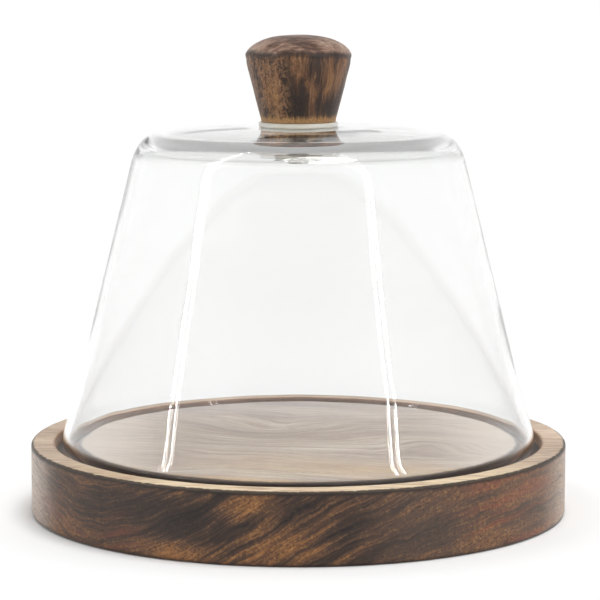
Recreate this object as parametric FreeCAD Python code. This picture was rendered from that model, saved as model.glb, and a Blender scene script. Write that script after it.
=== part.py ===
import FreeCAD, Part
import math
import os

# Low glass dome on a turned wooden tray, lifted by a turned wooden knob. Millimetres.
# Origin: centre of the tray's flat underside. +Z up, along the common axis of every turned piece.

# ---- driving dimensions ----
tray_r = 127.0              # outer radius of the tray
tray_h = 33.4               # height of the rim
tray_foot_round = 2.0       # lower outer edge
tray_rim_round = 1.3        # upper outer edge
tray_lip_round = 0.9        # inner edge of the rim
groove_r_out = 115.6        # outer wall of the ring groove
groove_r_in = 105.0         # edge of the raised centre board
groove_floor_z = 28.65      # floor of the groove
groove_fillet = 1.5
board_drop = 0.3            # centre board below the rim
board_round = 1.4           # rounded edge of the centre board

glass_t = 3.0               # wall thickness of the dome
glass_crown_t = 3.5         # thickness of the top
glass_inner_r = 15.0        # inner round between the top and the wall, which leaves the shoulder about 4 mm thick
glass_rest_z = 28.7         # lowest point of the rounded glass edge
glass_flare_z = 65.0        # below this height the wall flares out to the foot
glass_flare_r = 300.0       # radius of the flare, outer surface
glass_flare_deg = 19.1      # steepest lean of the flare from the vertical
glass_foot_r = 12.5         # round under the flare, outer surface
glass_ref_r = 113.5         # outer radius of the wall at glass_ref_z
glass_ref_z = 25.4
glass_slope = 0.2477        # wall leans in by this much per unit of height
glass_land_z = 182.1        # flat land round the hole
glass_land_r = 19.5
glass_crown_r = 66.64       # where the crowned top ends
glass_crown_z = 179.57
glass_corner_r = 10.25      # tight part of the shoulder
glass_corner_deg = 44.2     # angle turned by the tight part
glass_hole_r = 5.0

gasket_r = 18.7             # upper washer, between knob and glass
gasket_t = 2.3
boss_r = 4.7                # boss of the upper washer, in the glass hole
boss_l = 2.6
bore_r = 2.75               # clearance round the 5 mm screw

lower_gasket_r = 11.0
lower_gasket_t = 3.0
washer_r = 11.5
washer_t = 1.2

screw_r = 2.5
screw_l = 20.0              # length under the head
head_r = 5.0
head_h = 3.8
recess_w = 1.1              # cross recess
recess_l = 5.4
recess_d = 1.9

knob_foot_r = 17.7
knob_foot_round = 0.8
knob_side_top = (24.4, 26.7)            # end of the straight taper, radius and height over the foot
knob_crown = [                          # from the widest point over the crown to the centre
    (24.92, 30.9), (24.2, 33.2), (22.5, 35.1), (19.9, 36.9), (15.6, 38.8), (10.5, 40.0), (5.0, 40.5), (0.0, 40.6),
]
insert_r = 4.5
insert_l = 12.0
insert_recess = 0.2
pocket_depth = 15.0         # blind hole in the knob


def V(r, z):
    return FreeCAD.Vector(r, 0, z)


def line(a, b):
    return Part.LineSegment(V(*a), V(*b)).toShape()


def arc(c, rad, a0, a1):
    # arc about c from angle a0 to a1, degrees from +r towards +z
    am = (a0 + a1) / 2.0
    p = [V(c[0] + rad * math.cos(math.radians(a)), c[1] + rad * math.sin(math.radians(a))) for a in (a0, am, a1)]
    return Part.Arc(*p).toShape()


def end(edge, last=True):
    p = edge.valueAt(edge.LastParameter if last else edge.FirstParameter)
    return (p.x, p.z)


def turn(edges):
    # a closed outline in the half plane, revolved once round the axis
    wire = Part.Wire(Part.__sortEdges__(edges))
    face = Part.Face(wire)
    s = face.revolve(FreeCAD.Vector(0, 0, 0), FreeCAD.Vector(0, 0, 1), 360)
    s = Part.Solid(s) if s.ShapeType == "Shell" else s
    if s.Volume < 0:
        s.reverse()
    return s


def chain(points):
    return [line(points[i], points[i + 1]) for i in range(len(points) - 1)]


def cyl(r, z0, z1):
    return Part.makeCylinder(r, z1 - z0, FreeCAD.Vector(0, 0, z0))


# ---- wood_tray: one turned disc with a ring groove ----
board_z = tray_h - board_drop
f, q, p, g, b = tray_foot_round, tray_rim_round, tray_lip_round, groove_fillet, board_round
tray_edges = [
    line((0, 0), (tray_r - f, 0)),
    arc((tray_r - f, f), f, -90, 0),
    line((tray_r, f), (tray_r, tray_h - q)),
    arc((tray_r - q, tray_h - q), q, 0, 90),
    line((tray_r - q, tray_h), (groove_r_out + p, tray_h)),
    arc((groove_r_out + p, tray_h - p), p, 90, 180),
    line((groove_r_out, tray_h - p), (groove_r_out, groove_floor_z + g)),
    arc((groove_r_out - g, groove_floor_z + g), g, 0, -90),
    line((groove_r_out - g, groove_floor_z), (groove_r_in + g, groove_floor_z)),
    arc((groove_r_in + g, groove_floor_z + g), g, -90, -180),
    line((groove_r_in, groove_floor_z + g), (groove_r_in, board_z - b)),
    arc((groove_r_in - b, board_z - b), b, 0, 90),
    line((groove_r_in - b, board_z), (0, board_z)),
    line((0, board_z), (0, 0)),
]
wood_tray = turn(tray_edges)

# ---- glass_dome: shell, 3 mm thick in the wall and a little more in the top and shoulder ----
al = math.atan(glass_slope)                       # lean of the wall from the vertical
drop = glass_land_z - glass_crown_z
run = glass_crown_r - glass_land_r
crown_rad = (run * run + drop * drop) / (2 * drop)
a_crown = math.degrees(math.asin(run / crown_rad))
crown_c = (glass_land_r, glass_land_z - crown_rad)
a1 = 90 - a_crown                                 # angle of the corner arc's start
a2 = a1 - glass_corner_deg
a3 = math.degrees(al)                             # the wall's normal
corner_c = (
    glass_crown_r - glass_corner_r * math.cos(math.radians(a1)),
    glass_crown_z - glass_corner_r * math.sin(math.radians(a1)),
)
j = (
    corner_c[0] + glass_corner_r * math.cos(math.radians(a2)),
    corner_c[1] + glass_corner_r * math.sin(math.radians(a2)),
)
# radius of the slower arc that meets the wall line: distance of j to the wall, measured along its normal
n = (math.cos(al), math.sin(al))
d = n[0] * (glass_ref_r - j[0]) + n[1] * (glass_ref_z - j[1])
c2 = (math.cos(math.radians(a2)), math.sin(math.radians(a2)))
shoulder_r = d / (1 - (n[0] * c2[0] + n[1] * c2[1]))
shoulder_c = (j[0] - shoulder_r * c2[0], j[1] - shoulder_r * c2[1])
print("shoulder radius", round(shoulder_r, 2), "crown radius", round(crown_rad, 1))


# the inner round touches the underside of the crown and the inner line of the wall
inner_crown_rad = crown_rad - glass_crown_t
t_up = (-n[1], n[0])                              # up along the wall
c0 = (
    glass_ref_r - n[0] * (glass_t + glass_inner_r) - crown_c[0],
    glass_ref_z - n[1] * (glass_t + glass_inner_r) - crown_c[1],
)
bq = c0[0] * t_up[0] + c0[1] * t_up[1]
cq = c0[0] ** 2 + c0[1] ** 2 - (inner_crown_rad - glass_inner_r) ** 2
up = -bq + math.sqrt(bq * bq - cq)
inner_c = (crown_c[0] + c0[0] + up * t_up[0], crown_c[1] + c0[1] + up * t_up[1])
a4 = math.degrees(math.atan2(inner_c[1] - crown_c[1], inner_c[0] - crown_c[0]))

# the flare and the rounded foot, an even glass_t thick
ab = math.radians(glass_flare_deg)
nb = (math.cos(ab), math.sin(ab))
flare_top = (glass_ref_r - glass_slope * (glass_flare_z - glass_ref_z), glass_flare_z)
flare_c = (flare_top[0] + glass_flare_r * n[0], flare_top[1] + glass_flare_r * n[1])
flare_low = (flare_c[0] - glass_flare_r * nb[0], flare_c[1] - glass_flare_r * nb[1])
foot_c = (flare_low[0] - glass_foot_r * nb[0], flare_low[1] - glass_foot_r * nb[1])
edge_r = glass_t / 2.0
mid_r = glass_foot_r - edge_r
edge_z = glass_rest_z + edge_r
ae = math.asin((edge_z - foot_c[1]) / mid_r)
edge_c = (foot_c[0] + mid_r * math.cos(ae), edge_z)
a5, a6 = glass_flare_deg, math.degrees(ae)
print("foot: widest radius", round(foot_c[0] + glass_foot_r, 2), "at z", round(foot_c[1], 2), "ends at angle", round(a6, 1))
outer = [
    line((glass_hole_r, glass_land_z), (glass_land_r, glass_land_z)),
    arc(crown_c, crown_rad, 90, a1),
    arc(corner_c, glass_corner_r, a1, a2),
    arc(shoulder_c, shoulder_r, a2, a3),
]
inner = [
    line((glass_hole_r, glass_land_z - glass_crown_t), (glass_land_r, glass_land_z - glass_crown_t)),
    arc(crown_c, inner_crown_rad, 90, a4),
    arc(inner_c, glass_inner_r, a4, a3),
]
outer_low = flare_top
inner_low = (flare_top[0] - glass_t * n[0], flare_top[1] - glass_t * n[1])
outer_high = (shoulder_c[0] + shoulder_r * n[0], shoulder_c[1] + shoulder_r * n[1])
inner_high = (inner_c[0] + glass_inner_r * n[0], inner_c[1] + glass_inner_r * n[1])
edges = outer + [
    line(outer_high, outer_low),
    arc(flare_c, glass_flare_r, 180 + a3, 180 + a5),
    arc(foot_c, glass_foot_r, a5, a6),
    arc(edge_c, edge_r, a6, a6 - 180),
    arc(foot_c, glass_foot_r - glass_t, a6, a5),
    arc(flare_c, glass_flare_r + glass_t, 180 + a5, 180 + a3),
    line(inner_low, inner_high),
] + inner + [line((glass_hole_r, glass_land_z - glass_crown_t), (glass_hole_r, glass_land_z))]
glass_dome = turn(edges)

# ---- upper_gasket: flat washer with a boss ----
z0, z1 = glass_land_z, glass_land_z + gasket_t
h = 0.9
upper_gasket = turn([
    line((bore_r, z0 - boss_l), (boss_r - 0.3, z0 - boss_l)),
    line((boss_r - 0.3, z0 - boss_l), (boss_r, z0 - boss_l + 0.3)),
    line((boss_r, z0 - boss_l + 0.3), (boss_r, z0)),
    line((boss_r, z0), (gasket_r - h, z0)),
    arc((gasket_r - h, z0 + h), h, -90, 0),
    line((gasket_r, z0 + h), (gasket_r, z1 - h)),
    arc((gasket_r - h, z1 - h), h, 0, 90),
    line((gasket_r - h, z1), (bore_r, z1)),
    line((bore_r, z1), (bore_r, z0 - boss_l)),
])

# ---- knob: turned, with a drilled blind hole ----
kz = z1
k = knob_foot_round
side_top = (knob_side_top[0], kz + knob_side_top[1])
lean = math.atan2(side_top[0] - knob_foot_r, side_top[1] - (kz + k))
crown_pts = [V(r, kz + z) for r, z in knob_crown]
spline = Part.BSplineCurve()
spline.interpolate(
    Points=[V(*side_top)] + crown_pts,
    InitialTangent=FreeCAD.Vector(math.sin(lean), 0, math.cos(lean)),
    FinalTangent=FreeCAD.Vector(-1, 0, 0),
)
tip = pocket_depth + insert_r * math.tan(math.radians(31))
foot_c = (knob_foot_r - k, kz + k)
knob = turn([
    line((insert_r, kz), (knob_foot_r - k, kz)),
    arc(foot_c, k, -90, -math.degrees(lean)),
    line((foot_c[0] + k * math.cos(lean), foot_c[1] - k * math.sin(lean)), side_top),
    spline.toShape(),
    line((0, kz + knob_crown[-1][1]), (0, kz + tip)),
    line((0, kz + tip), (insert_r, kz + pocket_depth)),
    line((insert_r, kz + pocket_depth), (insert_r, kz)),
])

# ---- threaded_insert: brass sleeve in the blind hole, with a driving slot ----
i0 = kz + insert_recess
i1 = i0 + insert_l
threaded_insert = turn(
    chain([
        (screw_r + 0.35, i0), (insert_r - 0.4, i0), (insert_r, i0 + 0.4), (insert_r, i1 - 0.6), (insert_r - 0.6, i1),
        (screw_r + 0.35, i1), (screw_r, i1 - 0.35), (screw_r, i0 + 0.35), (screw_r + 0.35, i0),
    ])
)
threaded_insert = threaded_insert.cut(Part.makeBox(20, 1.2, 1.4, FreeCAD.Vector(-10, -0.6, i0)))

# ---- lower_gasket and flat_washer, under the glass ----
u1 = glass_land_z - glass_crown_t
u0 = u1 - lower_gasket_t
lower_gasket = turn(
    chain([(bore_r, u0), (lower_gasket_r - 0.2, u0), (lower_gasket_r, u0 + 0.2), (lower_gasket_r, u1 - 0.2), (lower_gasket_r - 0.2, u1), (bore_r, u1), (bore_r, u0)])
)
w1 = u0
w0 = w1 - washer_t
flat_washer = turn(
    chain([(bore_r, w0), (washer_r - 0.25, w0), (washer_r, w0 + 0.25), (washer_r, w1 - 0.1), (washer_r - 0.1, w1), (bore_r, w1), (bore_r, w0)])
)

# ---- knob_screw: pan head below the washer, shank up into the insert ----
hz = w0
hb = hz - head_h
crown_h = 1.0                                     # height of the head's rounded part
cr = 1.3                                          # radius of its shoulder
screw = turn([
    line((0, hb), (head_r - cr - 0.6, hb)),
    line((head_r - cr - 0.6, hb), (head_r - cr, hb + 0.12)),
    Part.Arc(V(head_r - cr, hb + 0.12), V(head_r - 0.38, hb + 0.62), V(head_r, hb + 1.5)).toShape(),
    line((head_r, hb + 1.5), (head_r, hz)),
    line((head_r, hz), (screw_r, hz)),
    line((screw_r, hz), (screw_r, hz + screw_l - 0.8)),
    line((screw_r, hz + screw_l - 0.8), (screw_r - 0.8, hz + screw_l)),
    line((screw_r - 0.8, hz + screw_l), (0, hz + screw_l)),
    line((0, hz + screw_l), (0, hb)),
])
for ang in (0, 90):
    slot = Part.makeBox(recess_l, recess_w, recess_d, FreeCAD.Vector(-recess_l / 2, -recess_w / 2, hb))
    slot.rotate(FreeCAD.Vector(0, 0, 0), FreeCAD.Vector(0, 0, 1), ang)
    screw = screw.cut(slot)
knob_screw = screw

# ---- write one file per piece ----
os.makedirs("parts", exist_ok=True)
nodes = {
    "wood_tray": wood_tray,
    "glass_dome": glass_dome,
    "knob": knob,
    "threaded_insert": threaded_insert,
    "upper_gasket": upper_gasket,
    "lower_gasket": lower_gasket,
    "flat_washer": flat_washer,
    "knob_screw": knob_screw,
}
for name, shape in nodes.items():
    solids = shape.Solids
    assert len(solids) == 1 and solids[0].isClosed() and shape.isValid(), name
    s = solids[0]
    bb = s.BoundBox
    print(name, "volume", round(s.Volume, 1), "z", round(bb.ZMin, 2), round(bb.ZMax, 2), "r", round(bb.XMax, 2))
    s.exportStep("parts/" + name + ".step")
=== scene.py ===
import math

import bpy
import numpy as np
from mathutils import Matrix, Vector


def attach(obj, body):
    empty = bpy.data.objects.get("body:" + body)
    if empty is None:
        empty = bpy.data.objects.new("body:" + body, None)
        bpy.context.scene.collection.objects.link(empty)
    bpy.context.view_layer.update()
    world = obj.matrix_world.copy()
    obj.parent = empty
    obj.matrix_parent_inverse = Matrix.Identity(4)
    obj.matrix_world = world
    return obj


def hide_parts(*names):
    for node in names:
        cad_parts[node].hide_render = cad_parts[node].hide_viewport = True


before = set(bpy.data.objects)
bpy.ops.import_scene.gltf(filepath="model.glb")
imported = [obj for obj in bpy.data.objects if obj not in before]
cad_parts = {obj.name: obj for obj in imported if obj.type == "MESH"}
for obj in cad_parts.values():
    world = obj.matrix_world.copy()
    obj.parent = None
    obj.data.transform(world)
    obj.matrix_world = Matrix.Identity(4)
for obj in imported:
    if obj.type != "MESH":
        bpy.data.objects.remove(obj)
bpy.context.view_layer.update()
MM = 0.001

# ------------------------------------------------------------------ dimensions, as in the CAD (mm)
TRAY_R, TRAY_H = 127.0, 33.4
GROOVE_OUT, GROOVE_IN, GROOVE_Z = 115.6, 105.0, 28.65
BOARD_Z = 33.1
LAND_R, LAND_Z = 19.5, 182.1
CROWN_R, CROWN_Z = 66.64, 179.57
CORNER_R, CORNER_DEG = 10.25, 44.2
SLOPE, REF_R, REF_Z, GLASS_T, REST_Z, HOLE_R = 0.2477, 113.5, 25.4, 3.0, 28.7, 5.0
CROWN_T, INNER_R = 3.5, 15.0
FLARE_Z, FLARE_R, FLARE_DEG, FOOT_R = 65.0, 300.0, 19.1, 12.5
KNOB_Z = 184.4


# ------------------------------------------------------------------ noise, in numpy, seeded
def _perm(seed):
    p = np.random.RandomState(seed).permutation(256)
    return np.concatenate([p, p, p])


_GRAD = np.array([
    [1, 1, 0], [-1, 1, 0], [1, -1, 0], [-1, -1, 0], [1, 0, 1], [-1, 0, 1],
    [1, 0, -1], [-1, 0, -1], [0, 1, 1], [0, -1, 1], [0, 1, -1], [0, -1, -1],
], float)


def gnoise(p, seed=1):
    """Gradient noise of an (n, 3) array, about -1 to 1."""
    p = np.asarray(p, float)
    pm = _perm(seed)
    i = np.floor(p).astype(int)
    f = p - i
    i &= 255
    u = f * f * f * (f * (f * 6 - 15) + 10)
    out = 0.0
    for dx in (0, 1):
        for dy in (0, 1):
            for dz in (0, 1):
                h = pm[pm[pm[i[:, 0] + dx] + i[:, 1] + dy] + i[:, 2] + dz] % 12
                g = _GRAD[h]
                d = (g * (f - np.array([dx, dy, dz]))).sum(1)
                w = (u[:, 0] if dx else 1 - u[:, 0]) * (u[:, 1] if dy else 1 - u[:, 1]) * (u[:, 2] if dz else 1 - u[:, 2])
                out = out + w * d
    return out


def fbm(p, seed=1, octaves=4):
    s, a, t = 0.0, 1.0, 0.0
    q = np.array(p, float)
    for k in range(octaves):
        s = s + a * gnoise(q, seed + k)
        t += a
        a *= 0.5
        q = q * 2.03 + 7.1
    return s / t


# ------------------------------------------------------------------ outlines in the half plane (mm)
def arc_pts(c, r, a0, a1, n):
    t = np.radians(np.linspace(a0, a1, n))
    return [(c[0] + r * math.cos(x), c[1] + r * math.sin(x)) for x in t]


def seg(a, b, step):
    n = max(1, int(round(math.dist(a, b) / step)))
    return [(a[0] + (b[0] - a[0]) * k / n, a[1] + (b[1] - a[1]) * k / n) for k in range(n + 1)]


def join(*parts):
    out = []
    for p in parts:
        for q in p:
            if not out or math.dist(out[-1], q) > 1e-6:
                out.append(q)
    return out


def lathe(name, outline, n, loop=False, warp=None, smooth=True):
    """Turns an outline about Z. Points on the axis become one pole. The outline runs so that its outside is on its left
    when it goes from the bottom of the axis outwards and up; faces point outwards."""
    verts, rows = [], []
    for r, z in outline:
        if abs(r) < 1e-7:
            rows.append([len(verts)] * n)
            verts.append((0.0, 0.0, z))
        else:
            rows.append(list(range(len(verts), len(verts) + n)))
            for k in range(n):
                a = 2 * math.pi * k / n
                verts.append((r * math.sin(a), -r * math.cos(a), z))
    faces = []
    m = len(rows)
    for i in range(m if loop else m - 1):
        a, b = rows[i], rows[(i + 1) % m]
        for k in range(n):
            k2 = (k + 1) % n
            quad = [a[k], a[k2], b[k2], b[k]]
            face = []
            for v in quad:
                if v not in face:
                    face.append(v)
            if len(face) > 2:
                faces.append(face)
    v = np.array(verts, float)
    if warp is not None:
        v = warp(v)
    mesh = bpy.data.meshes.new(name)
    mesh.from_pydata([tuple(x) for x in v * MM], [], faces)
    mesh.update()
    if smooth:
        mesh.polygons.foreach_set("use_smooth", [True] * len(mesh.polygons))
    ob = bpy.data.objects.new(name, mesh)
    bpy.context.scene.collection.objects.link(ob)
    return ob


def volume_sign(ob):
    me = ob.data
    me.calc_loop_triangles()
    co = np.empty(len(me.vertices) * 3)
    me.vertices.foreach_get("co", co)
    co = co.reshape(-1, 3)
    t = np.array([tuple(x.vertices) for x in me.loop_triangles])
    return float(np.einsum("ij,ij->i", co[t[:, 0]], np.cross(co[t[:, 1]], co[t[:, 2]])).sum())


def outward(ob):
    if volume_sign(ob) < 0:
        ob.data.flip_normals()
    return ob


# ------------------------------------------------------------------ node helpers
class Tree:
    def __init__(self, name):
        self.mat = bpy.data.materials.new(name)
        self.mat.use_nodes = True
        self.nt = self.mat.node_tree
        self.nt.nodes.clear()
        self.out = self.nt.nodes.new("ShaderNodeOutputMaterial")

    def node(self, kind, **props):
        n = self.nt.nodes.new(kind)
        for k, v in props.items():
            setattr(n, k, v)
        return n

    def put(self, socket, value):
        if isinstance(value, bpy.types.NodeSocket):
            self.nt.links.new(value, socket)
        elif value is not None:
            socket.default_value = col(value) if isinstance(value, str) else value

    def math(self, op, a, b=None, c=None, clamp=False):
        n = self.node("ShaderNodeMath", operation=op, use_clamp=clamp)
        self.put(n.inputs[0], a)
        self.put(n.inputs[1], b)
        if c is not None:
            self.put(n.inputs[2], c)
        return n.outputs[0]

    def vmath(self, op, a, b=None, scale=None, out=0):
        n = self.node("ShaderNodeVectorMath", operation=op)
        self.put(n.inputs[0], a)
        if b is not None:
            self.put(n.inputs[1], b)
        if scale is not None:
            self.put(n.inputs["Scale"], scale)
        return n.outputs[out]

    def mix(self, f, a, b, kind="MIX"):
        n = self.node("ShaderNodeMix", data_type="RGBA", blend_type=kind)
        n.clamp_factor = True
        self.put(n.inputs["Factor"], f)
        self.put([s for s in n.inputs if s.name == "A" and s.type == "RGBA"][0], a)
        self.put([s for s in n.inputs if s.name == "B" and s.type == "RGBA"][0], b)
        return [s for s in n.outputs if s.type == "RGBA"][0]

    def ramp(self, f, stops, interp="LINEAR"):
        n = self.node("ShaderNodeValToRGB")
        n.color_ramp.interpolation = interp
        e = n.color_ramp.elements
        while len(e) > 1:
            e.remove(e[-1])
        e[0].position, e[0].color = stops[0][0], col(stops[0][1])
        for pos, c in stops[1:]:
            x = e.new(pos)
            x.color = col(c)
        self.put(n.inputs[0], f)
        return n.outputs[0]

    def smooth(self, v, lo, hi, to0=0.0, to1=1.0):
        n = self.node("ShaderNodeMapRange", interpolation_type="SMOOTHSTEP")
        self.put(n.inputs["Value"], v)
        self.put(n.inputs["From Min"], lo)
        self.put(n.inputs["From Max"], hi)
        self.put(n.inputs["To Min"], to0)
        self.put(n.inputs["To Max"], to1)
        return n.outputs[0]

    def noise(self, vec, scale, detail=3.0, rough=0.5, distort=0.0, color=False, dim="3D"):
        n = self.node("ShaderNodeTexNoise", noise_dimensions=dim)
        if dim == "1D":
            self.put(n.inputs["W"], vec)
        else:
            self.put(n.inputs["Vector"], vec)
        self.put(n.inputs["Scale"], scale)
        self.put(n.inputs["Detail"], detail)
        self.put(n.inputs["Roughness"], rough)
        self.put(n.inputs["Distortion"], distort)
        return n.outputs["Color" if color else 0]

    def mapping(self, vec, loc=(0, 0, 0), rot=(0, 0, 0), scale=(1, 1, 1)):
        n = self.node("ShaderNodeMapping")
        self.put(n.inputs["Vector"], vec)
        n.inputs["Location"].default_value = loc
        n.inputs["Rotation"].default_value = rot
        n.inputs["Scale"].default_value = scale
        return n.outputs[0]

    def sep(self, vec):
        n = self.node("ShaderNodeSeparateXYZ")
        self.put(n.inputs[0], vec)
        return n.outputs

    def bump(self, height, strength, dist):
        n = self.node("ShaderNodeBump")
        self.put(n.inputs["Height"], height)
        n.inputs["Strength"].default_value = strength
        n.inputs["Distance"].default_value = dist
        return n.outputs[0]


def srgb(c):
    return tuple((x / 12.92 if x <= 0.04045 else ((x + 0.055) / 1.055) ** 2.4) for x in c)


def col(c):
    """'#rrggbb' or a linear triple, as linear RGBA."""
    if isinstance(c, str):
        return (*srgb([int(c[i:i + 2], 16) / 255 for i in (1, 3, 5)]), 1.0)
    if isinstance(c, (int, float)):
        return (c, c, c, 1.0)
    return (*c[:3], 1.0)


# ------------------------------------------------------------------ wood
def blob(t, p, centre, size, lo=1.0, hi=0.0):
    """1 at centre, falling smoothly to 0 on an ellipsoid of the given half sizes."""
    d = t.vmath("LENGTH", t.vmath("DIVIDE", t.vmath("SUBTRACT", p, centre), size), out=1)
    return t.smooth(d, lo, hi)


def addup(t, first, *terms):
    out = first
    for x in terms:
        out = t.math("ADD", out, x)
    return out


def about(t, v, k, mid=0.5):
    """k * (v - mid)"""
    return t.math("MULTIPLY", t.math("SUBTRACT", v, mid), k)


def wood_tray_material():
    t = Tree("brushed_tray_wood")
    P = t.node("ShaderNodeTexCoord").outputs["Object"]
    x, y, z = t.sep(P)[:3]
    r = t.vmath("LENGTH", t.vmath("MULTIPLY", P, (1.0, 1.0, 0.0)), out=1)
    fine = t.noise(P, 1250.0, 2.0, 0.6)
    speck = t.noise(t.mapping(P, loc=(0.31, 0.17, 0.05)), 620.0, 2.0, 0.55)

    # ---- side wall. The growth lines sweep down from the far left and climb across the front: z = h(x) + constant
    fc = t.node("ShaderNodeFloatCurve")
    cv = fc.mapping.curves[0]
    H = [(-127, 0.0), (-105, -19.0), (-92, -22.5), (-75, -19.8), (-50, -9.4), (-20, 9.2), (10, 30.2), (40, 45.0), (70, 57.0), (100, 67.0), (127, 74.0)]
    pts = [((a + 127) / 254, (b + 30) / 130) for a, b in H]
    cv.points[0].location = pts[0]
    cv.points[1].location = pts[-1]
    for q in pts[1:-1]:
        cv.points.new(*q)
    fc.mapping.update()
    t.put(fc.inputs["Value"], t.math("MULTIPLY", t.math("ADD", x, 0.127), 1 / 0.254))
    h = t.math("MULTIPLY", fc.outputs[0], 0.130)
    warp = t.math("ADD", about(t, t.noise(P, 24.0, 2.0, 0.5), 0.0085), about(t, t.noise(P, 95.0, 2.0, 0.5), 0.0026))
    f = addup(t, t.math("SUBTRACT", z, h), warp, t.math("MULTIPLY", y, 0.10))
    s = t.math("ADD", t.math("MULTIPLY", x, 0.8), t.math("MULTIPLY", z, 0.55))
    cmb = t.node("ShaderNodeCombineXYZ")
    t.put(cmb.inputs[0], s)
    t.put(cmb.inputs[1], y)
    t.put(cmb.inputs[2], f)
    V = cmb.outputs[0]
    figure = t.noise(t.mapping(V, scale=(15, 15, 62)), 1.0, 3.0, 0.55)
    bands = t.noise(t.mapping(V, loc=(0.4, 0.2, 0.7), scale=(15, 15, 250)), 1.0, 3.0, 0.6)
    fibre = t.noise(t.mapping(V, scale=(60, 90, 1100)), 1.0, 3.0, 0.6)
    ridge = t.math("ABSOLUTE", t.math("SUBTRACT", t.noise(t.mapping(V, loc=(0.9, 0.1, 0.33), scale=(9, 9, 88)), 1.0, 1.0, 0.4), 0.5))
    lines = t.math("MULTIPLY", t.smooth(ridge, 0.017, 0.0), t.smooth(bands, 0.40, 0.60))
    pore = t.noise(t.mapping(V, loc=(3.1, 0.7, 1.9), scale=(330, 900, 1500)), 1.0, 1.0, 0.4)
    pores = t.smooth(pore, 0.60, 0.72)
    curl = t.noise(t.mapping(V, scale=(620, 620, 1000)), 1.0, 2.0, 0.6, distort=0.9)

    warm = addup(t, blob(t, P, (-0.020, -0.124, 0.026), (0.022, 0.05, 0.010)),
                 blob(t, P, (-0.011, -0.126, 0.010), (0.026, 0.05, 0.015)),
                 t.math("MULTIPLY", blob(t, P, (-0.056, -0.114, 0.005), (0.026, 0.05, 0.009)), 0.85),
                 t.math("MULTIPLY", blob(t, P, (-0.047, -0.118, 0.029), (0.016, 0.05, 0.006)), 0.75))
    warm = addup(t, warm,
                 t.math("MULTIPLY", blob(t, P, (0.084, -0.095, 0.008), (0.030, 0.05, 0.011)), 0.75),
                 t.math("MULTIPLY", blob(t, P, (0.096, -0.083, 0.022), (0.026, 0.05, 0.009)), 0.55),
                 t.math("MULTIPLY", blob(t, P, (-0.100, -0.078, 0.006), (0.020, 0.05, 0.009)), 0.45),
                 t.math("MULTIPLY", blob(t, P, (0.030, 0.122, 0.012), (0.040, 0.05, 0.016)), 0.8),
                 t.math("MULTIPLY", blob(t, P, (0.118, 0.030, 0.022), (0.05, 0.030, 0.012)), 0.7),
                 t.math("MULTIPLY", blob(t, P, (-0.115, 0.045, 0.014), (0.05, 0.034, 0.012)), 0.7))
    dark = addup(t, blob(t, P, (-0.052, -0.113, 0.018), (0.038, 0.05, 0.013)),
                 t.math("MULTIPLY", blob(t, P, (-0.086, -0.093, 0.020), (0.030, 0.05, 0.020)), 0.55),
                 t.math("MULTIPLY", blob(t, P, (0.055, -0.113, 0.012), (0.030, 0.05, 0.014)), 0.35))
    # the figure is strongest in the middle of the front, quiet and dark on the left, quiet and browner on the right
    strong = t.math("MAXIMUM", blob(t, P, (-0.006, -0.125, 0.016), (0.058, 0.08, 0.05), 1.0, 0.35), t.smooth(y, -0.02, 0.05, 0.0, 0.8))
    contrast = t.math("ADD", t.math("MULTIPLY", strong, 0.58), 0.42)
    fig = t.math("ADD", about(t, figure, 0.72), about(t, bands, 0.66))
    place = t.math("ADD", t.smooth(x, 0.000, 0.050, 0.0, 0.036), t.smooth(x, -0.118, -0.060, 0.010, -0.012))
    place = t.math("ADD", place, t.math("MULTIPLY", t.smooth(z, 0.013, 0.002, 0.0, 0.075), t.math("ADD", blob(t, P, (-0.052, -0.115, 0.004), (0.055, 0.06, 0.05), 1.0, 0.3), 0.35)))
    tone = addup(t, t.math("MULTIPLY", fig, contrast), about(t, fibre, 0.42), place,
                 t.math("MULTIPLY", warm, 0.150), t.math("MULTIPLY", dark, -0.090), 0.455)
    side = t.ramp(tone, [(0.26, "#1f1714"), (0.38, "#36271f"), (0.46, "#50392b"), (0.54, "#724e33"), (0.63, "#97663a"), (0.78, "#bb8550")])
    red = t.math("MULTIPLY", t.smooth(t.noise(t.mapping(V, loc=(7.3, 0.2, 5.1), scale=(12, 12, 170)), 1.0, 2.0, 0.5), 0.50, 0.66),
                 t.math("ADD", t.smooth(x, 0.045, 0.090), t.math("MULTIPLY", t.smooth(x, -0.062, -0.080), 0.6)))
    side = t.mix(t.math("MULTIPLY", t.smooth(x, 0.020, 0.055, 0.0, 0.22), t.smooth(x, 0.125, 0.095)), side, "#6f5f55")
    side = t.mix(t.math("MULTIPLY", red, 0.62), side, "#8a4f38")
    # paler at the far left and right sides: painted sheen, where the light catches them at a grazing angle
    far_side_sheen = t.math("MULTIPLY", t.smooth(t.math("ABSOLUTE", x), 0.108, 0.126), t.smooth(fibre, 0.35, 0.60, 0.5, 1.0))
    side = t.mix(t.math("MULTIPLY", far_side_sheen, t.smooth(x, -0.02, 0.02, 0.90, 0.78)), side, t.mix(t.smooth(x, -0.02, 0.02), "#d9c8bb", "#bfa996"))
    # the warm figure is stippled, the dark one brushed
    stip = t.math("MULTIPLY", t.smooth(curl, 0.53, 0.60), t.smooth(tone, 0.44, 0.60, 0.12, 0.92))
    side = t.mix(t.math("MULTIPLY", stip, 0.66), side, "#35241b")
    side = t.mix(t.math("MULTIPLY", pores, 0.50), side, "#1f1714")
    side = t.mix(t.math("MULTIPLY", lines, 0.62), side, "#2a201d")
    light = t.math("MULTIPLY", t.smooth(speck, 0.52, 0.66), t.smooth(tone, 0.40, 0.60, 0.04, 0.36))
    side = t.mix(light, side, "#b98a52")
    side = t.mix(t.math("MULTIPLY", t.smooth(fine, 0.50, 0.30), 0.28), side, "#1d1614")

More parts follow.
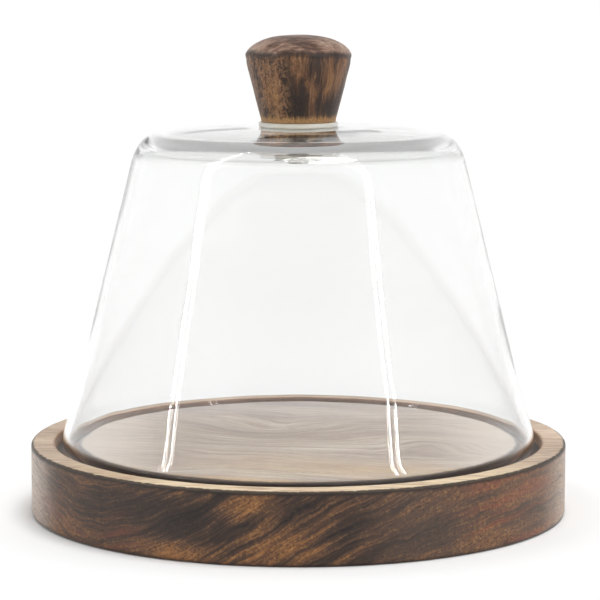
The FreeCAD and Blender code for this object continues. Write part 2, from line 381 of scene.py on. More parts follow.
    # ---- top faces: sanded and greyed, with soft cathedral grain that runs mostly left to right
    eye = blob(t, P, (-0.018, 0.022, 0.033), (0.060, 0.052, 0.02))
    eye2 = blob(t, P, (0.066, -0.010, 0.033), (0.050, 0.046, 0.02))
    ty = addup(t, y, t.math("MULTIPLY", eye, 0.034), t.math("MULTIPLY", eye2, -0.022), t.math("MULTIPLY", x, 0.16),
               about(t, t.noise(P, 11.0, 2.0, 0.5), 0.040), about(t, t.noise(P, 48.0, 2.0, 0.5), 0.0050))
    cmt = t.node("ShaderNodeCombineXYZ")
    t.put(cmt.inputs[0], x)
    t.put(cmt.inputs[1], ty)
    T = cmt.outputs[0]
    trings = t.noise(t.mapping(T, loc=(0.3, 0.9, 0.0), scale=(7, 190, 1)), 1.0, 4.0, 0.70)
    tbroad = t.noise(t.mapping(T, loc=(1.3, 0.4, 0.0), scale=(8, 34, 1)), 1.0, 2.0, 0.5)
    tline = t.math("ABSOLUTE", t.math("SUBTRACT", t.noise(t.mapping(T, loc=(0.7, 0.2, 0.0), scale=(4, 64, 1)), 1.0, 1.0, 0.4), 0.5))
    tlines = t.math("MULTIPLY", t.smooth(tline, 0.030, 0.0), t.smooth(tbroad, 0.36, 0.60))
    tfib = t.noise(t.mapping(T, scale=(40, 900, 1)), 1.0, 3.0, 0.6)
    tpore = t.smooth(t.noise(t.mapping(T, loc=(2.0, 0.1, 0.0), scale=(150, 1300, 1)), 1.0, 1.0, 0.4), 0.61, 0.74)
    tt = addup(t, t.math("MULTIPLY", trings, 0.72), about(t, tbroad, 0.72), about(t, tfib, 0.95), t.smooth(t.math("ABSOLUTE", x), 0.045, 0.100, 0.055, 0.085))
    face = t.ramp(tt, [(0.26, "#6d5f58"), (0.40, "#83766c"), (0.52, "#93867b"), (0.68, "#a39a90")])
    yellow = t.math("MULTIPLY", t.math("ADD", t.smooth(y, -0.030, -0.085), 0.12), t.smooth(t.noise(t.mapping(T, loc=(0.2, 3.0, 0.0), scale=(7, 30, 1)), 1.0, 2.0, 0.5), 0.36, 0.62))
    face = t.mix(t.math("MULTIPLY", yellow, 0.75), face, t.mix(t.smooth(tfib, 0.40, 0.62), "#94785a", "#ab936f"))
    face = t.mix(t.math("MULTIPLY", tlines, 0.62), face, "#5a4c43")
    face = t.mix(t.math("MULTIPLY", tpore, 0.66), face, "#52453c")
    face = t.mix(t.math("MULTIPLY", t.smooth(fine, 0.5, 0.3), 0.14), face, "#4e433c")
    face = t.mix(t.math("MULTIPLY", t.smooth(speck, 0.5, 0.7), 0.12), face, "#a59a8d")
    outer = t.smooth(t.math("ABSOLUTE", x), 0.050, 0.100)
    face = t.mix(t.math("MULTIPLY", outer, 0.46), face, "#bdb4ab")
    back = t.smooth(y, 0.020, 0.095)
    face = t.mix(t.math("MULTIPLY", back, 0.24), face, "#b0adb0")
    # the rim's top is paler and yellower at the front, greyer at its sides
    rim_zone = t.smooth(r, 0.1135, 0.1150)
    diag = t.noise(t.mapping(P, rot=(0.0, 0.0, math.radians(32)), scale=(70, 520, 520)), 1.0, 3.0, 0.6)
    rimc = t.ramp(addup(t, t.math("MULTIPLY", diag, 0.8), about(t, tbroad, 0.5)), [(0.22, "#a2866c"), (0.38, "#c8b18f"), (0.52, "#dccaab"), (0.68, "#e4d5ba")])
    sidec = t.ramp(addup(t, t.math("MULTIPLY", diag, 0.8), about(t, tbroad, 0.5)), [(0.22, "#86725f"), (0.38, "#a68f7b"), (0.55, "#bfaa94"), (0.70, "#cfbda7")])
    rimc = t.mix(t.smooth(y, -0.098, -0.045), rimc, sidec)
    face = t.mix(rim_zone, face, rimc)

    # ---- where each applies, with ragged edges
    ragged = about(t, t.noise(P, 360.0, 3.0, 0.65), 0.0022)
    wavy = about(t, t.noise(P, 90.0, 2.0, 0.5), 0.0020)
    top = t.smooth(t.math("ADD", z, t.math("MULTIPLY", ragged, 0.6)), 0.03215, 0.03270)
    body = t.mix(top, side, face)
    gz = addup(t, z, t.math("MULTIPLY", ragged, 0.9))
    outer_wall = t.ramp(t.math("MULTIPLY", t.math("SUBTRACT", gz, 0.0283), 1 / 0.0052), [(0.0, "#1d1613"), (0.50, "#2d2019"), (0.92, "#4e3222")])
    inner_wall = t.ramp(t.math("MULTIPLY", t.math("SUBTRACT", gz, 0.0283), 1 / 0.0052), [(0.0, "#54351f"), (0.45, "#3a281f"), (0.80, "#2a211e")])
    gcol = t.mix(t.smooth(r, 0.1095, 0.1125), inner_wall, outer_wall)
    in_groove = t.math("MULTIPLY", t.smooth(r, 0.1042, 0.1048), t.smooth(r, 0.1161, 0.1157))
    body = t.mix(in_groove, body, gcol)
    # burnt arrises
    rr = addup(t, r, ragged, t.math("MULTIPLY", wavy, 0.5))
    rim_edge = t.math("MULTIPLY", t.smooth(rr, 0.1254, 0.1262), t.smooth(addup(t, z, ragged), 0.0306, 0.0324))
    body = t.mix(t.math("MULTIPLY", rim_edge, 0.92), body, "#231a17")
    lip_edge = t.math("MULTIPLY", t.smooth(rr, 0.1170, 0.1162), t.smooth(r, 0.1148, 0.1154))
    body = t.mix(t.math("MULTIPLY", lip_edge, 0.55), body, "#7d5433")
    board_edge = t.math("MULTIPLY", t.smooth(t.math("ADD", rr, t.math("MULTIPLY", wavy, 0.5)), 0.1022, 0.1038), t.smooth(r, 0.1062, 0.1052))
    body = t.mix(t.math("MULTIPLY", board_edge, 0.88), body, "#2e2725")
    foot_edge = t.smooth(addup(t, z, ragged), 0.0022, 0.0004)
    body = t.mix(t.math("MULTIPLY", foot_edge, 0.60), body, "#2a211e")

    rough = addup(t, t.math("MULTIPLY", fibre, 0.20), t.math("MULTIPLY", t.math("SUBTRACT", 1.0, top), -0.10), 0.52)
    hh = addup(t, t.math("MULTIPLY", t.mix(top, fibre, tfib), 0.6), t.math("MULTIPLY", pores, -0.7), t.math("MULTIPLY", stip, -0.35), t.math("MULTIPLY", lines, -0.5))
    p = t.node("ShaderNodeBsdfPrincipled")
    t.put(p.inputs["Base Color"], body)
    t.put(p.inputs["Roughness"], rough)
    t.put(p.inputs["Normal"], t.bump(hh, 0.45, 0.00020))
    p.inputs["Specular IOR Level"].default_value = 0.34
    p.inputs["Sheen Weight"].default_value = 0.30
    p.inputs["Sheen Roughness"].default_value = 0.35
    p.inputs["Sheen Tint"].default_value = (0.95, 0.88, 0.82, 1)
    t.put(t.out.inputs[0], p.outputs[0])
    return t.mat


def knob_material():
    t = Tree("brushed_knob_wood")
    P = t.node("ShaderNodeTexCoord").outputs["Object"]
    K = t.vmath("SUBTRACT", P, (0.0, 0.0, 0.1844))
    x, y, z = t.sep(K)[:3]
    U = t.vmath("NORMALIZE", t.vmath("MULTIPLY", K, (1.0, 1.0, 0.0)))
    ux, uy, _ = t.sep(U)[:3]
    cmb = t.node("ShaderNodeCombineXYZ")                      # streaks follow the taper
    wig = about(t, t.noise(K, 85.0, 2.0, 0.5), 0.22)
    t.put(cmb.inputs[0], t.math("ADD", ux, wig))
    t.put(cmb.inputs[1], t.math("ADD", uy, wig))
    t.put(cmb.inputs[2], z)
    S = cmb.outputs[0]
    broad = t.noise(t.mapping(S, loc=(0.31, 0.12, 0.0), scale=(3.4, 3.4, 26)), 1.0, 2.0, 0.5)
    mid = t.noise(t.mapping(S, loc=(1.7, 0.4, 0.0), scale=(10, 10, 38)), 1.0, 3.0, 0.6)
    fib = t.noise(t.mapping(S, loc=(0.2, 2.4, 0.0), scale=(34, 34, 75)), 1.0, 3.0, 0.65)
    pale = t.noise(t.mapping(S, loc=(5.2, 1.4, 0.0), scale=(24, 24, 60)), 1.0, 2.0, 0.6)
    curl = t.noise(K, 780.0, 2.0, 0.6, distort=1.4)
    fine = t.noise(K, 1500.0, 2.0, 0.6)
    front = t.smooth(uy, 0.1, -0.3)
    B = t.vmath("ADD", K, (0.0, 0.0, 0.0))
    dark = addup(t, t.math("MULTIPLY", blob(t, B, (-0.0015, -0.020, 0.008), (0.0072, 0.02, 0.024)), 1.55),
                 t.math("MULTIPLY", blob(t, B, (0.0125, -0.015, 0.0065), (0.0085, 0.02, 0.0105)), 1.10),
                 t.math("MULTIPLY", blob(t, B, (-0.0150, -0.012, 0.004), (0.0045, 0.02, 0.0075)), 1.0),
                 t.math("MULTIPLY", blob(t, B, (0.0060, -0.020, 0.026), (0.0040, 0.02, 0.009)), 0.45),
                 t.math("MULTIPLY", blob(t, B, (-0.0065, -0.021, 0.024), (0.0034, 0.02, 0.008)), 0.6))
    warm = addup(t, t.math("MULTIPLY", blob(t, B, (-0.0125, -0.017, 0.015), (0.0082, 0.02, 0.016)), 1.35),
                 t.math("MULTIPLY", blob(t, B, (0.0075, -0.021, 0.016), (0.0030, 0.02, 0.010)), 0.45),
                 t.math("MULTIPLY", blob(t, B, (0.0170, -0.013, 0.022), (0.0075, 0.02, 0.012)), 0.6))
    tone = addup(t, t.math("MULTIPLY", broad, 0.55), about(t, mid, 0.62), about(t, fib, 0.38),
                 t.math("MULTIPLY", dark, -0.215), t.math("MULTIPLY", warm, 0.150), 0.185)
    side = t.ramp(tone, [(0.26, "#24170f"), (0.38, "#3b2718"), (0.47, "#5c3d27"), (0.56, "#805635"), (0.68, "#a47546"), (0.84, "#bd925c")])
    left = t.math("MULTIPLY", t.smooth(ux, -0.05, -0.40), 1.0)
    cur = t.smooth(curl, 0.50, 0.60)
    mott = t.noise(t.mapping(K, loc=(0.01, 0.02, 0.0), scale=(420, 420, 300)), 1.0, 2.0, 0.6, distort=1.2)
    hair = t.noise(t.mapping(S, loc=(3.3, 0.8, 0.0), scale=(85, 85, 60)), 1.0, 2.0, 0.6)
    # paler, warmer mottle on the knob's left side: partly the wood's curly figure, partly painted sheen on that side
    left_mottle_and_sheen = t.math("MULTIPLY", left, t.smooth(mott, 0.42, 0.60))
    side = t.mix(t.math("MULTIPLY", left_mottle_and_sheen, 0.62), side, "#b0825a")
    side = t.mix(t.math("MULTIPLY", t.math("MULTIPLY", cur, t.math("ADD", t.math("MULTIPLY", left, 0.60), 0.18)), 0.85), side, "#38241a")
    side = t.mix(t.math("MULTIPLY", t.smooth(hair, 0.54, 0.66), 0.55), side, "#2a1b13")
    side = t.mix(t.math("MULTIPLY", t.smooth(hair, 0.46, 0.34), t.smooth(tone, 0.40, 0.56, 0.08, 0.42)), side, "#bb9068")
    thin = t.math("MULTIPLY", t.smooth(pale, 0.60, 0.70), t.smooth(tone, 0.42, 0.56))
    side = t.mix(t.math("MULTIPLY", thin, 0.50), side, "#c09a78")
    side = t.mix(t.math("MULTIPLY", t.smooth(fine, 0.5, 0.3), 0.30), side, "#1c1512")
    # pale ring at the foot, ragged along the fibres
    rag = t.math("MULTIPLY", t.math("SUBTRACT", mid, 0.46), 0.0056)
    foot = t.smooth(addup(t, z, t.math("MULTIPLY", rag, -1.0), about(t, fib, 0.0026)), 0.0040, 0.0012)
    side = t.mix(t.math("MULTIPLY", foot, 0.88), side, t.ramp(fine, [(0.35, "#9c7144"), (0.65, "#c99c66")]))
    # crown: brown in the middle, paler and greyer towards its left and right sides, which is painted sheen
    cr = t.noise(t.mapping(K, loc=(0.0, 0.0, 0.0), rot=(0.0, 0.0, 0.4), scale=(95, 210, 120)), 1.0, 4.0, 0.62)
    cf = t.noise(t.mapping(K, rot=(0.0, 0.0, 0.4), scale=(240, 1100, 900)), 1.0, 3.0, 0.6)
    rad = t.vmath("LENGTH", t.vmath("MULTIPLY", K, (1.0, 1.0, 0.0)), out=1)
    ct = addup(t, t.math("MULTIPLY", cr, 0.62), about(t, cf, 0.55), about(t, mott, 0.20), t.math("MULTIPLY", t.smooth(t.math("ABSOLUTE", x), 0.004, 0.022), 0.15), 0.06)
    crown = t.ramp(ct, [(0.26, "#422e26"), (0.38, "#6b5042"), (0.49, "#917362"), (0.60, "#b19985"), (0.74, "#d0bfad")])
    crown = t.mix(t.math("MULTIPLY", t.smooth(fine, 0.5, 0.3), 0.30), crown, "#2e221e")
    ang = t.noise(t.mapping(U, scale=(1.3, 1.3, 1.3)), 1.0, 2.0, 0.6)
    wob = addup(t, about(t, ang, 0.0060), about(t, t.noise(K, 300.0, 2.0, 0.6), 0.0012))
    zz = t.math("ADD", z, wob)
    top = t.smooth(zz, 0.0318, 0.0328)
    body = t.mix(top, side, crown)
    ring = t.math("MULTIPLY", t.smooth(zz, 0.0296, 0.0314), t.smooth(zz, 0.0340, 0.0324))
    body = t.mix(t.math("MULTIPLY", ring, 0.74), body, "#251b17")
    p = t.node("ShaderNodeBsdfPrincipled")
    t.put(p.inputs["Base Color"], body)
    t.put(p.inputs["Roughness"], addup(t, t.math("MULTIPLY", fib, 0.20), t.math("MULTIPLY", top, -0.06), 0.36))
    hk = addup(t, t.math("MULTIPLY", fib, 0.7), t.math("MULTIPLY", mid, 0.6), t.math("MULTIPLY", cur, -0.35), t.math("MULTIPLY", cf, 0.2))
    t.put(p.inputs["Normal"], t.bump(hk, 0.55, 0.00030))
    p.inputs["Specular IOR Level"].default_value = 0.36
    p.inputs["Sheen Weight"].default_value = 0.10
    p.inputs["Sheen Roughness"].default_value = 0.35
    p.inputs["Sheen Tint"].default_value = (0.95, 0.88, 0.82, 1)
    t.put(t.out.inputs[0], p.outputs[0])
    return t.mat


def glass_material():
    t = Tree("clear_blown_glass")
    P = t.node("ShaderNodeTexCoord").outputs["Object"]
    wave = t.noise(t.mapping(P, scale=(14, 14, 9)), 1.0, 2.0, 0.5)
    smear = t.noise(t.mapping(P, scale=(60, 60, 25)), 1.0, 4.0, 0.6)
    g = t.node("ShaderNodeBsdfPrincipled")
    g.inputs["Base Color"].default_value = (0.976, 0.981, 0.977, 1)
    g.inputs["IOR"].default_value = 1.5
    g.inputs["Specular IOR Level"].default_value = 0.14
    g.inputs["Transmission Weight"].default_value = 1.0
    t.put(g.inputs["Roughness"], t.smooth(smear, 0.62, 0.9, 0.0, 0.002))
    t.put(g.inputs["Normal"], t.bump(wave, 0.35, 0.0012))
    clear = t.node("ShaderNodeBsdfTransparent")
    clear.inputs[0].default_value = (0.955, 0.962, 0.957, 1)
    lp = t.node("ShaderNodeLightPath")
    m = t.node("ShaderNodeMixShader")
    t.put(m.inputs[0], lp.outputs["Is Shadow Ray"])
    t.put(m.inputs[1], g.outputs[0])
    t.put(m.inputs[2], clear.outputs[0])
    t.put(t.out.inputs[0], m.outputs[0])
    return t.mat


def silicone_material(name="clear_silicone", clear=0.18):
    t = Tree(name)
    P = t.node("ShaderNodeTexCoord").outputs["Object"]
    n = t.noise(P, 90.0, 2.0, 0.5)
    g = t.noise(t.mapping(P, scale=(160, 160, 900)), 1.0, 2.0, 0.5)
    p = t.node("ShaderNodeBsdfPrincipled")
    t.put(p.inputs["Base Color"], t.ramp(n, [(0.35, "#f6f1e2"), (0.65, "#fdfaf0")]))
    t.put(p.inputs["Roughness"], t.smooth(g, 0.3, 0.7, 0.14, 0.26))
    p.inputs["IOR"].default_value = 1.41
    p.inputs["Transmission Weight"].default_value = clear
    t.put(p.inputs["Normal"], t.bump(g, 0.10, 0.00004))
    t.put(t.out.inputs[0], p.outputs[0])
    return t.mat


def steel_material():
    t = Tree("zinc_plated_steel")
    P = t.node("ShaderNodeTexCoord").outputs["Object"]
    a = t.noise(t.mapping(P, scale=(900, 900, 900)), 1.0, 3.0, 0.6)
    p = t.node("ShaderNodeBsdfPrincipled")
    t.put(p.inputs["Base Color"], t.ramp(a, [(0.3, "#6f6c66"), (0.7, "#9a978f")]))
    p.inputs["Metallic"].default_value = 1.0
    t.put(p.inputs["Roughness"], t.smooth(a, 0.3, 0.7, 0.2, 0.36))
    t.put(p.inputs["Normal"], t.bump(a, 0.15, 0.00008))
    t.put(t.out.inputs[0], p.outputs[0])
    return t.mat


def brass_material():
    t = Tree("turned_brass")
    P = t.node("ShaderNodeTexCoord").outputs["Object"]
    a = t.noise(t.mapping(P, scale=(300, 300, 2500)), 1.0, 2.0, 0.6)
    p = t.node("ShaderNodeBsdfPrincipled")
    t.put(p.inputs["Base Color"], t.ramp(a, [(0.3, "#b08a45"), (0.7, "#cfac62")]))
    p.inputs["Metallic"].default_value = 1.0
    t.put(p.inputs["Roughness"], t.smooth(a, 0.3, 0.7, 0.25, 0.42))
    t.put(p.inputs["Normal"], t.bump(a, 0.2, 0.0001))
    t.put(t.out.inputs[0], p.outputs[0])
    return t.mat


def floor_material():
    t = Tree("pale_floor")
    P = t.node("ShaderNodeTexCoord").outputs["Object"]
    n = t.noise(P, 3.0, 2.0, 0.5)
    p = t.node("ShaderNodeBsdfPrincipled")
    t.put(p.inputs["Base Color"], t.ramp(n, [(0.3, (0.86, 0.86, 0.86)), (0.7, (0.88, 0.88, 0.88))]))
    p.inputs["Roughness"].default_value = 0.8
    p.inputs["Specular IOR Level"].default_value = 0.2
    t.put(t.out.inputs[0], p.outputs[0])
    return t.mat


def set_material(ob, mat):
    ob.data.materials.clear()
    ob.data.materials.append(mat)


def piece(ob, mat, body, slot, *nodes):
    set_material(ob, mat)
    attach(ob, body)
    if nodes:
        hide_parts(*nodes)
    return ob


# ------------------------------------------------------------------ tray
f, q, lp_, g, b = 2.0, 1.3, 0.9, 1.5, 1.4
tray_outline = join(
    seg((0, 0), (TRAY_R - f, 0), 4.0),
    arc_pts((TRAY_R - f, f), f, -90, 0, 9),
    seg((TRAY_R, f), (TRAY_R, TRAY_H - q), 0.9),
    arc_pts((TRAY_R - q, TRAY_H - q), q, 0, 90, 8),
    seg((TRAY_R - q, TRAY_H), (GROOVE_OUT + lp_, TRAY_H), 0.9),
    arc_pts((GROOVE_OUT + lp_, TRAY_H - lp_), lp_, 90, 180, 7),
    seg((GROOVE_OUT, TRAY_H - lp_), (GROOVE_OUT, GROOVE_Z + g), 0.9),
    arc_pts((GROOVE_OUT - g, GROOVE_Z + g), g, 0, -90, 7),
    seg((GROOVE_OUT - g, GROOVE_Z), (GROOVE_IN + g, GROOVE_Z), 1.0),
    arc_pts((GROOVE_IN + g, GROOVE_Z + g), g, -90, -180, 7),
    seg((GROOVE_IN, GROOVE_Z + g), (GROOVE_IN, BOARD_Z - b), 0.9),
    arc_pts((GROOVE_IN - b, BOARD_Z - b), b, 0, 90, 7),
    seg((GROOVE_IN - b, BOARD_Z), (0, BOARD_Z), 1.6),
)


def tray_warp(v):
    # hand-finished wood: the faces dip by a few hundredths to tenths of a millimetre along the fibres
    a = math.radians(33)
    c, s = math.cos(a), math.sin(a)
    x = v[:, 0] * c + v[:, 2] * s
    z = -v[:, 0] * s + v[:, 2] * c
    y = v[:, 1]
    n1 = fbm(np.c_[x / 60, y / 9, z / 9], 11, 3)
    n2 = fbm(np.c_[x / 22, y / 2.6, z / 2.6], 23, 2)
    d = 0.10 + 0.10 * n1 + 0.05 * n2
    d = np.clip(d, 0.0, 0.3)
    r = np.hypot(v[:, 0], v[:, 1])
    out = v.copy()
    wall = r > 120
    k = np.ones(len(v))
    k[wall] = 1 - d[wall] / r[wall]
    out[:, 0] *= k
    out[:, 1] *= k
    topf = (v[:, 2] > BOARD_Z - 0.5)
    out[topf, 2] -= d[topf] * 0.7
    return out


tray = outward(lathe("tray_board", tray_outline, 720, warp=tray_warp))
piece(tray, wood_tray_material(), "tray", "tray_wood", "wood_tray")

# ------------------------------------------------------------------ glass
al = math.atan(SLOPE)
drop, run = LAND_Z - CROWN_Z, CROWN_R - LAND_R
crown_rad = (run * run + drop * drop) / (2 * drop)
a_crown = math.degrees(math.asin(run / crown_rad))
crown_c = (LAND_R, LAND_Z - crown_rad)
a1 = 90 - a_crown
a2 = a1 - CORNER_DEG
a3 = math.degrees(al)
cc = (CROWN_R - CORNER_R * math.cos(math.radians(a1)), CROWN_Z - CORNER_R * math.sin(math.radians(a1)))
jj = (cc[0] + CORNER_R * math.cos(math.radians(a2)), cc[1] + CORNER_R * math.sin(math.radians(a2)))
nn = (math.cos(al), math.sin(al))
dd = nn[0] * (REF_R - jj[0]) + nn[1] * (REF_Z - jj[1])
c2 = (math.cos(math.radians(a2)), math.sin(math.radians(a2)))
SH_R = dd / (1 - (nn[0] * c2[0] + nn[1] * c2[1]))
sc = (jj[0] - SH_R * c2[0], jj[1] - SH_R * c2[1])


o_line = join(
    seg((HOLE_R + 0.3, LAND_Z), (LAND_R, LAND_Z), 1.6),
    arc_pts(crown_c, crown_rad, 90, a1, 30),
    arc_pts(cc, CORNER_R, a1, a2, 26),
    arc_pts(sc, SH_R, a2, a3, 26),
)
# inner round between the underside of the crown and the inner wall
rci = crown_rad - CROWN_T
c0 = (REF_R - nn[0] * (GLASS_T + INNER_R) - crown_c[0], REF_Z - nn[1] * (GLASS_T + INNER_R) - crown_c[1])
bq = -c0[0] * nn[1] + c0[1] * nn[0]
up = -bq + math.sqrt(bq * bq - (c0[0] ** 2 + c0[1] ** 2 - (rci - INNER_R) ** 2))
ic = (crown_c[0] + c0[0] - up * nn[1], crown_c[1] + c0[1] + up * nn[0])
a4 = math.degrees(math.atan2(ic[1] - crown_c[1], ic[0] - crown_c[0]))
i_line = join(
    seg((HOLE_R + 0.3, LAND_Z - CROWN_T), (LAND_R, LAND_Z - CROWN_T), 1.6),
    arc_pts(crown_c, rci, 90, a4, 30),
    arc_pts(ic, INNER_R, a4, a3, 30),
)
# flare and rounded foot
ab = math.radians(FLARE_DEG)
nb = (math.cos(ab), math.sin(ab))
ft = (REF_R - SLOPE * (FLARE_Z - REF_Z), FLARE_Z)
fl_c = (ft[0] + FLARE_R * nn[0], ft[1] + FLARE_R * nn[1])
fo_c = (fl_c[0] - (FLARE_R + FOOT_R) * nb[0], fl_c[1] - (FLARE_R + FOOT_R) * nb[1])
er = GLASS_T / 2
ez = REST_Z + er
a6 = math.degrees(math.asin((ez - fo_c[1]) / (FOOT_R - er)))
ec = (fo_c[0] + (FOOT_R - er) * math.cos(math.radians(a6)), ez)
glass_outline = join(
    o_line,
    seg(o_line[-1], ft, 2.6),
    arc_pts(fl_c, FLARE_R, 180 + a3, 180 + FLARE_DEG, 12),
    arc_pts(fo_c, FOOT_R, FLARE_DEG, a6, 14),
    arc_pts(ec, er, a6, a6 - 180, 15),
    arc_pts(fo_c, FOOT_R - GLASS_T, a6, FLARE_DEG, 12),
    arc_pts(fl_c, FLARE_R + GLASS_T, 180 + FLARE_DEG, 180 + a3, 12),
    seg((ft[0] - GLASS_T * nn[0], ft[1] - GLASS_T * nn[1]), i_line[-1], 2.6),
    i_line[::-1],
    [(HOLE_R, LAND_Z - CROWN_T + 0.3), (HOLE_R, LAND_Z - 0.3)],
)


def glass_warp(v):
    # blown glass: its wall wanders by a tenth of a millimetre, slowly
    n1 = fbm(v / 45.0, 5, 2) * 0.12
    n2 = fbm(v / 16.0, 9, 1) * 0.02
    r = np.hypot(v[:, 0], v[:, 1])
    d = np.minimum((n1 + n2), 0.12) - 0.13
    d *= np.clip((r - 20) / 20, 0, 1)
    out = v.copy()
    side = v[:, 2] < 176
    k = 1 + d * np.clip((178 - v[:, 2]) / 12, 0, 1) / np.maximum(r, 1)
    out[:, 0] *= k
    out[:, 1] *= k
    out[:, 2] += d * np.clip((v[:, 2] - 172) / 6, 0, 1)
    return out


dome = outward(lathe("dome_shell", glass_outline, 384, loop=True, warp=glass_warp))
piece(dome, glass_material(), "dome", "clear_glass", "glass_dome")

# ------------------------------------------------------------------ knob
knob_profile = [(24.4, 26.7), (24.92, 30.9), (24.2, 33.2), (22.5, 35.1), (19.9, 36.9), (15.6, 38.8), (10.5, 40.0), (5.0, 40.5), (0.0, 40.6)]


def catmull(pts, per):
    out = []
    P = [pts[0]] + list(pts) + [(-pts[-2][0], pts[-2][1])]
    for i in range(1, len(P) - 2):
        p0, p1, p2, p3 = map(np.array, (P[i - 1], P[i], P[i + 1], P[i + 2]))
        for k in range(per):
            t = k / per
            out.append(tuple(0.5 * ((2 * p1) + (-p0 + p2) * t + (2 * p0 - 5 * p1 + 4 * p2 - p3) * t * t + (-p0 + 3 * p1 - 3 * p2 + p3) * t ** 3)))
    out.append(tuple(pts[-1]))
    return out


crown_line = [(max(0.0, r), z) for r, z in catmull(knob_profile, 6)]
crown_line[-1] = (0.0, crown_line[-1][1])
foot_r, foot_k = 17.7, 0.8
lean = math.atan2(24.4 - foot_r, 26.7 - foot_k)
knob_outline = join(
    [(0.0, 15.0), (4.5, 15.0), (4.5, 0.0)],
    seg((4.5, 0.0), (foot_r - foot_k, 0.0), 2.0),
    arc_pts((foot_r - foot_k, foot_k), foot_k, -90, -math.degrees(lean), 6),
    seg((foot_r - foot_k + foot_k * math.cos(lean), foot_k - foot_k * math.sin(lean)), (24.4, 26.7), 0.7),
    crown_line,
)
knob_outline = [(r, z + KNOB_Z) for r, z in knob_outline]


def knob_warp(v):
    r = np.hypot(v[:, 0], v[:, 1])
    h = v[:, 2] - KNOB_Z
    n1 = fbm(np.c_[v[:, 0] / 4.0, v[:, 1] / 4.0, v[:, 2] / 22.0], 31, 3)
    n2 = fbm(v / 9.0, 37, 2)
    ang = np.arctan2(v[:, 0], -v[:, 1])
    wob = 0.5 * np.sin(2 * ang + 0.6) + 0.35 * np.sin(5 * ang + 2.0)
    arris = np.exp(-((h - 31.6 - wob) / 1.1) ** 2)
    cut = np.exp(-((h - 29.6 - wob) / 1.0) ** 2)
    d = 0.16 + 0.14 * n1 + 0.12 * n2 - 0.12 * arris + 0.16 * cut
    d = np.clip(d, 0.0, 0.6) * np.clip((r - 6) / 6, 0, 1) * np.clip(h / 1.5, 0, 1)
    out = v.copy()
    k = 1 - d / np.maximum(r, 1)
    out[:, 0] *= k
    out[:, 1] *= k
    top = h > 34
    out[top, 2] -= np.clip(0.10 + 0.12 * n2[top], 0, 0.3)
    return out


knob = outward(lathe("turned_knob", knob_outline, 256, warp=knob_warp))
piece(knob, knob_material(), "dome", "knob_wood", "knob")

# ------------------------------------------------------------------ gaskets and washer
sil = silicone_material()
h = 0.9
zt = LAND_Z + 2.3
gasket = outward(lathe("upper_seal", join(
    [(2.75, LAND_Z - 2.6), (4.4, LAND_Z - 2.6), (4.7, LAND_Z - 2.3)],
    seg((4.7, LAND_Z - 2.3), (4.7, LAND_Z), 0.8),
    seg((4.7, LAND_Z), (18.7 - h, LAND_Z), 2.0),
    arc_pts((18.7 - h, LAND_Z + h), h, -90, 0, 7),
    [(18.7, LAND_Z + h + 0.25)],
    arc_pts((18.7 - h, zt - h), h, 0, 90, 7),
    seg((18.7 - h, zt), (2.75, zt), 2.0),
), 192, loop=True))
piece(gasket, sil, "dome", "clear_silicone", "upper_gasket")

u1 = LAND_Z - CROWN_T
u0 = u1 - 3.0
low_seal = outward(lathe("lower_seal", join(
    [(2.75, u0)], arc_pts((11.0 - 0.3, u0 + 0.3), 0.3, -90, 0, 5), arc_pts((11.0 - 0.3, u1 - 0.3), 0.3, 0, 90, 5), [(2.75, u1)],
), 160, loop=True))
piece(low_seal, silicone_material("clear_silicone_seal", 0.85), "dome", "clear_silicone", "lower_gasket")

w1, w0 = u0, u0 - 1.2
washer = outward(lathe("steel_washer", join(
    [(2.85, w0)], seg((2.85, w0), (11.2, w0), 2.0), arc_pts((11.25, w0 + 0.25), 0.25, -90, 0, 6), arc_pts((11.4, w1 - 0.1), 0.1, 0, 90, 4),
    seg((11.4, w1), (2.85, w1), 2.0), [(2.75, w1 - 0.1), (2.75, w0 + 0.1)],
), 160, loop=True))
steel = steel_material()
piece(washer, steel, "dome", "steel", "flat_washer")
set_material(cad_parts["knob_screw"], steel)
set_material(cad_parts["threaded_insert"], brass_material())

# ------------------------------------------------------------------ stage, light, camera
scene = bpy.context.scene
bpy.ops.mesh.primitive_plane_add(size=60.0, location=(0, 0, 0))
floor = bpy.context.object
floor.name = "floor"
set_material(floor, floor_material())

world = bpy.data.worlds.new("studio")
scene.world = world
world.use_nodes = True
wt = world.node_tree
wt.nodes.clear()
bg = wt.nodes.new("ShaderNodeBackground")
wo = wt.nodes.new("ShaderNodeOutputWorld")
tc = wt.nodes.new("ShaderNodeTexCoord")
sx = wt.nodes.new("ShaderNodeSeparateXYZ")
rp = wt.nodes.new("ShaderNodeValToRGB")
wt.links.new(tc.outputs["Generated"], sx.inputs[0])
wt.links.new(sx.outputs[2], rp.inputs[0])
e = rp.color_ramp.elements
SIDES = 0.45
WORLD = ((0.0, 1.00), (0.10, 0.98), (0.30, 0.64), (0.50, 0.48), (0.85, 0.44), (1.0, 0.58))
e[0].position, e[0].color = WORLD[0][0], (*[WORLD[0][1]] * 3, 1)
e[1].position, e[1].color = WORLD[-1][0], (*[WORLD[-1][1]] * 3, 1)
for pos, v in WORLD[1:-1]:
    x = e.new(pos)
    x.color = (v, v, v, 1)
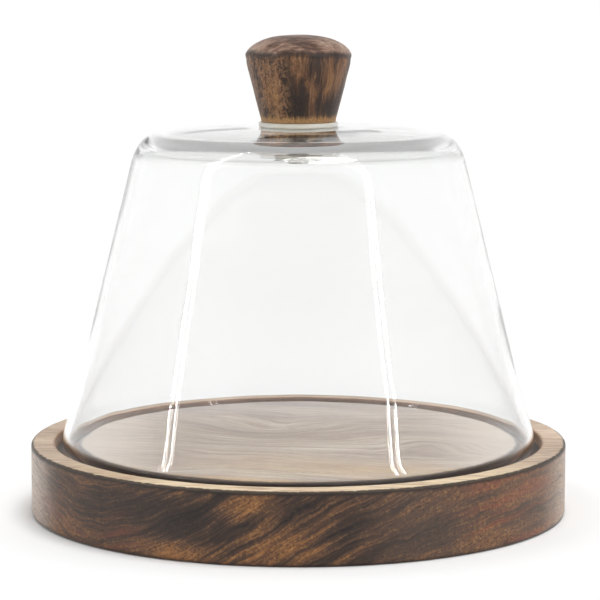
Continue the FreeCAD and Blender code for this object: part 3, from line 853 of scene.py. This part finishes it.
# brighter at both sides: two large white reflectors stand left and right of the object
ax = wt.nodes.new("ShaderNodeMath")
ax.operation = "ABSOLUTE"
wt.links.new(sx.outputs[0], ax.inputs[0])
sd = wt.nodes.new("ShaderNodeMapRange")
sd.interpolation_type = "SMOOTHSTEP"
sd.inputs["From Min"].default_value = 0.30
sd.inputs["From Max"].default_value = 0.80
sd.inputs["To Min"].default_value = 0.0
sd.inputs["To Max"].default_value = SIDES
wt.links.new(ax.outputs[0], sd.inputs["Value"])
mw = wt.nodes.new("ShaderNodeMix")
mw.data_type = "RGBA"
wt.links.new(sd.outputs[0], mw.inputs[0])
wt.links.new(rp.outputs[0], mw.inputs[6])
mw.inputs[7].default_value = (1.0, 1.0, 1.0, 1.0)
wt.links.new(mw.outputs[2], bg.inputs[0])
bg.inputs[1].default_value = 1.0
wt.links.new(bg.outputs[0], wo.inputs[0])


def light(name, kind, loc, target):
    d = bpy.data.lights.new(name, kind)
    o = bpy.data.objects.new(name, d)
    scene.collection.objects.link(o)
    o.location = loc
    o.rotation_euler = (Vector(target) - Vector(loc)).to_track_quat("-Z", "Y").to_euler()
    o.visible_camera = False
    return d


# one wide soft light overhead, the same on the whole floor
top = light("soft_top", "SUN", (0.30, -0.10, 2.0), (0, 0, 0))
top.energy = 1.98
top.angle = math.radians(30)
scene.objects["soft_top"].visible_glossy = False


def led_strip(name, az, width, power, z0=0.0, z1=3.0, pitch=0.0058, dist=1.25):
    """An upright strip of small lamps, which the glass mirrors as a dotted line."""
    a = math.radians(az)
    x, y = dist * math.sin(a), -dist * math.cos(a)
    zc = (z0 + z1) / 2
    d = light(name, "AREA", (x, y, zc), (0, 0, zc))
    d.shape = "RECTANGLE"
    d.size, d.size_y = width, z1 - z0
    d.energy = power
    scene.objects[name].visible_diffuse = False
    d.use_nodes = True
    nt = d.node_tree
    nt.nodes.clear()
    out = nt.nodes.new("ShaderNodeOutputLight")
    em = nt.nodes.new("ShaderNodeEmission")
    geo = nt.nodes.new("ShaderNodeNewGeometry")
    sp = nt.nodes.new("ShaderNodeSeparateXYZ")
    m = nt.nodes.new("ShaderNodeMath")
    m.operation = "MULTIPLY"
    m.inputs[1].default_value = 1.0 / pitch
    fr = nt.nodes.new("ShaderNodeMath")
    fr.operation = "FRACT"
    mr = nt.nodes.new("ShaderNodeMapRange")
    mr.inputs["From Min"].default_value = 0.38
    mr.inputs["From Max"].default_value = 0.42
    mr.inputs["To Min"].default_value = 1.0
    mr.inputs["To Max"].default_value = 0.02
    nt.links.new(geo.outputs["Position"], sp.inputs[0])
    nt.links.new(sp.outputs[2], m.inputs[0])
    nt.links.new(m.outputs[0], fr.inputs[0])
    nt.links.new(fr.outputs[0], mr.inputs["Value"])
    nt.links.new(mr.outputs[0], em.inputs[1])
    nt.links.new(em.outputs[0], out.inputs[0])


for k, az in enumerate((-66.4, -63.0, 45.5, 49.1)):
    led_strip("strip_%d" % k, az, 0.014, 15.0, z0=0.0024 * k)

cam_data = bpy.data.cameras.new("camera")
cam = bpy.data.objects.new("camera", cam_data)
scene.collection.objects.link(cam)
cam_data.sensor_width = 36.0
cam_data.lens = 36.0 * 2704.2 / 600.0
cam_data.shift_x = 1.6 / 600.0
cam_data.clip_start = 0.05
cam_data.clip_end = 100.0
cam.location = (0.0, -1.27, 0.27033)
cam.rotation_euler = (math.radians(90.0 - 7.648), 0.0, 0.0)
scene.camera = cam

scene.view_settings.view_transform = "Standard"
scene.view_settings.look = "None"
scene.cycles.max_bounces = 24
scene.cycles.transmission_bounces = 20
scene.cycles.glossy_bounces = 20
scene.cycles.transparent_max_bounces = 24
scene.cycles.sample_clamp_indirect = 20.0
scene.cycles.use_denoising = True
